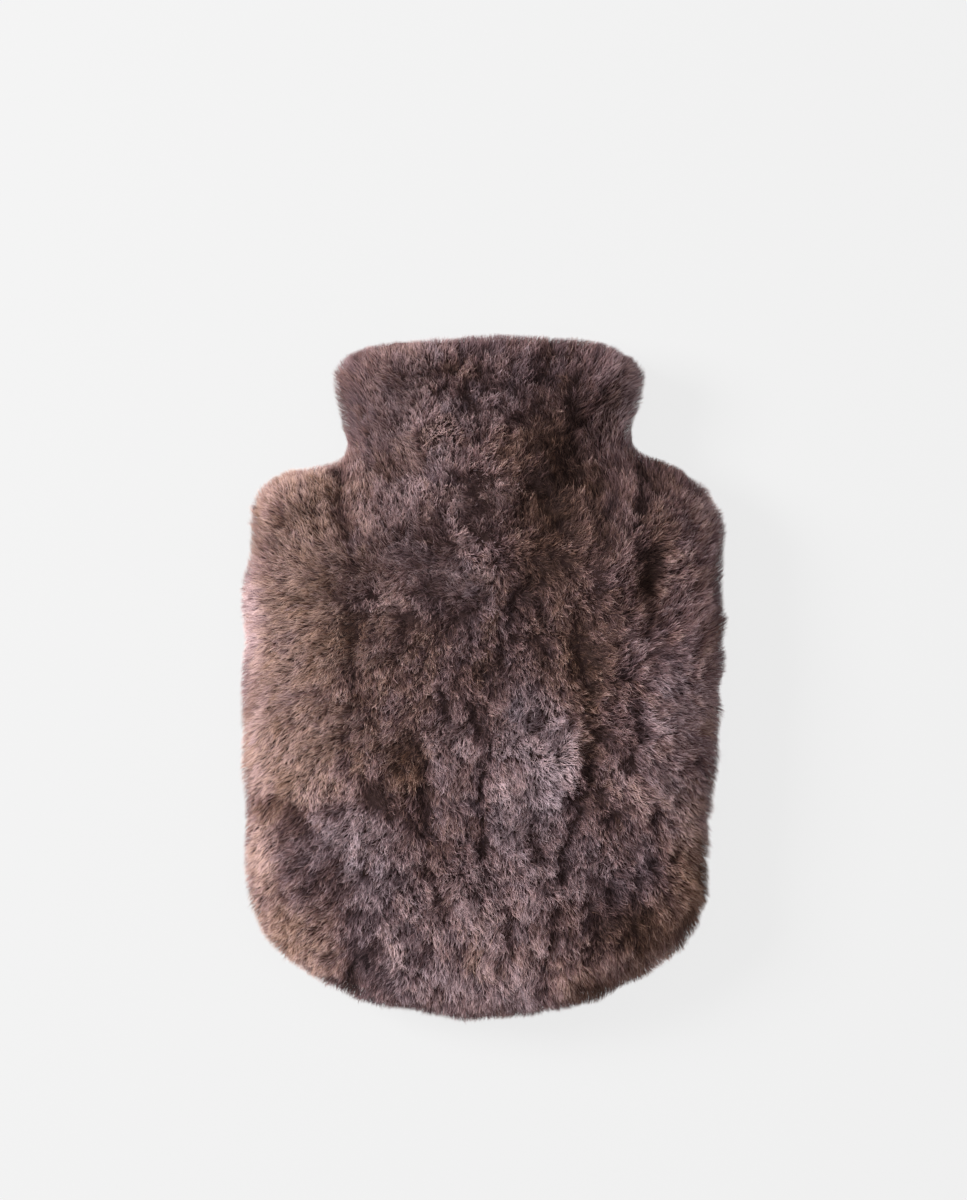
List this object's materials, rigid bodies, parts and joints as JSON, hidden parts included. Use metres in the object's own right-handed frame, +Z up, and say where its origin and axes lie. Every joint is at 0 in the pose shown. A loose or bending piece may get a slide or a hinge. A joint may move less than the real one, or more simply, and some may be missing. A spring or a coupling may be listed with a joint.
{
  "type": "hot water bottle cover",
  "caption": "Sheepskin cover for a hot water bottle: a plump fur pouch with a wide neck that is open at the top, lying on its back.",
  "frame": {"origin": "on the surface that the cover lies on, under the middle of its outline", "axes": "+X to the right of the front face seen from above, +Y from the round bottom to the neck's open mouth, +Z up, from the back panel to the front panel"},
  "size_m": [0.244, 0.343, 0.0725],
  "materials": {
    "pile": "deep combed sheepskin pile, taupe brown with greyer tips, matt with a soft sheen"
  },
  "bodies": {
    "root": {"front_panel": "pile", "back_panel": "pile"}
  },
  "joints": []
}
